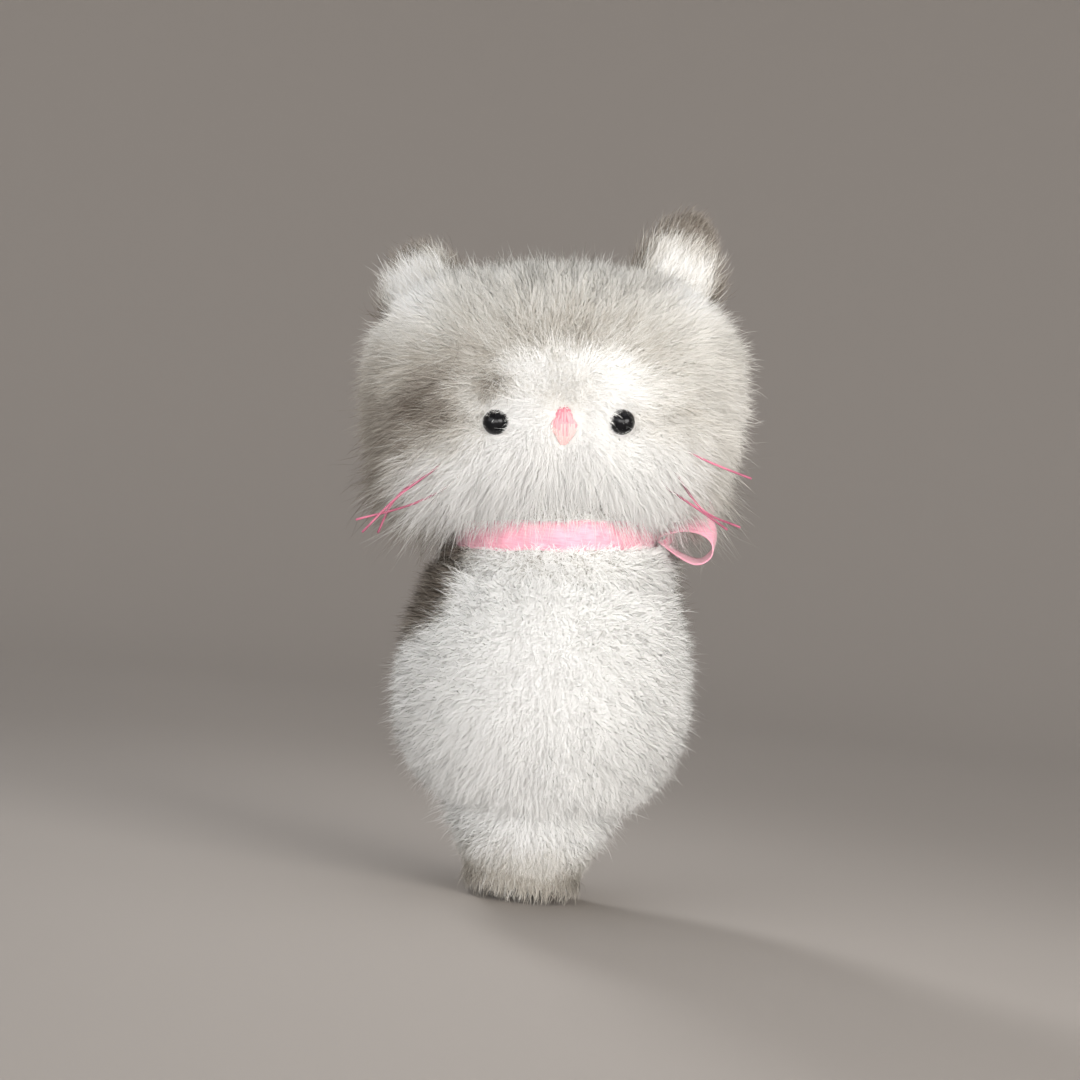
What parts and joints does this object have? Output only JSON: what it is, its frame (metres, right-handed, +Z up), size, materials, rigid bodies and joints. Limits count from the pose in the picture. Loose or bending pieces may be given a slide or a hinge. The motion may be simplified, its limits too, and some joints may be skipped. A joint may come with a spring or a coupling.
{
  "type": "finger puppet",
  "caption": "Soft finger puppet of a kitten: fur sock body, stuffed head that turns, nods and tilts, ears that fold, and a ribbon with a bow round the neck.",
  "frame": {"origin": "centre of the finger opening, in the plane of the hem", "axes": "+Z up the finger bore towards the head, -Y the way the face looks, +X the puppet's own left"},
  "size_m": [0.0764, 0.0518, 0.1338],
  "materials": {
    "white_fur": "long-pile plush fur",
    "grey_fur": "long-pile plush fur",
    "taupe_fur": "long-pile plush fur",
    "fibrefill": "loose fibre",
    "sleeve_knit": "fine rib knit",
    "pocket_felt": "felt",
    "sewing_thread": "twisted thread",
    "pink_satin": "satin",
    "eye_black": "gloss",
    "washer_plastic": "matt",
    "pink_floss": "stranded floss",
    "whisker_thread": "waxed thread"
  },
  "bodies": {
    "body": {"belly_panel": "white_fur", "back_panel": "taupe_fur", "belly_filling": "fibrefill", "finger_sleeve": "sleeve_knit", "hem_stitches": "sewing_thread", "side_seam_left": "sewing_thread", "side_seam_right": "sewing_thread"},
    "neck": {"neck_cover": "white_fur", "gather_thread": "sewing_thread"},
    "collar": {"neck_ribbon": "pink_satin", "bow_knot": "pink_satin", "bow_loop_front": "pink_satin", "bow_loop_rear": "pink_satin", "bow_tail_inner": "pink_satin", "bow_tail_outer": "pink_satin"},
    "core": {"neck_filling": "fibrefill", "finger_pocket": "pocket_felt"},
    "head": {"face_panel": "white_fur", "crown_panel": "grey_fur", "head_back_panel": "taupe_fur", "head_filling": "fibrefill", "head_closing_stitches": "sewing_thread", "eye_left": "eye_black", "eye_right": "eye_black", "eye_washer_left": "washer_plastic", "eye_washer_right": "washer_plastic", "nose_stitches": "pink_floss", "nose_knot": "pink_floss", "whiskers_left": "whisker_thread", "whiskers_right": "whisker_thread", "whisker_knots": "whisker_thread"},
    "ear_left": {"ear_left_front": "white_fur", "ear_left_back": "taupe_fur"},
    "ear_right": {"ear_right_front": "white_fur", "ear_right_back": "taupe_fur"}
  },
  "joints": [
    {"name": "head_turn", "type": "hinge", "parent": "body", "child": "neck", "pos_m": [0, 0, 0.067], "axis": [0, 0, 1], "range_deg": [-35, 35], "stiffness_Nm_per_rad": 0.02},
    {"name": "head_nod", "type": "hinge", "parent": "neck", "child": "core", "pos_m": [0, 0, 0.067], "axis": [1, 0, 0], "range_deg": [-15, 20], "stiffness_Nm_per_rad": 0.02},
    {"name": "head_tilt", "type": "hinge", "parent": "core", "child": "head", "pos_m": [0, 0, 0.067], "axis": [0, 1, 0], "range_deg": [-15, 11], "stiffness_Nm_per_rad": 0.02},
    {"name": "collar_turn", "type": "hinge", "parent": "neck", "child": "collar", "pos_m": [0, 0, 0.067], "axis": [-0.108, 0, 0.9942], "range_deg": [-20, 80], "stiffness_Nm_per_rad": 0.002},
    {"name": "ear_left_flop", "type": "hinge", "parent": "head", "child": "ear_left", "pos_m": [0.01751, 0.00105, 0.11988], "axis": [0.9484, 0.0397, -0.3147], "range_deg": [-20, 40], "stiffness_Nm_per_rad": 0.002},
    {"name": "ear_right_flop", "type": "hinge", "parent": "head", "child": "ear_right", "pos_m": [-0.03231, -0.00114, 0.11334], "axis": [0.8088, 0.0379, 0.5868], "range_deg": [-10, 60], "stiffness_Nm_per_rad": 0.002}
  ]
}
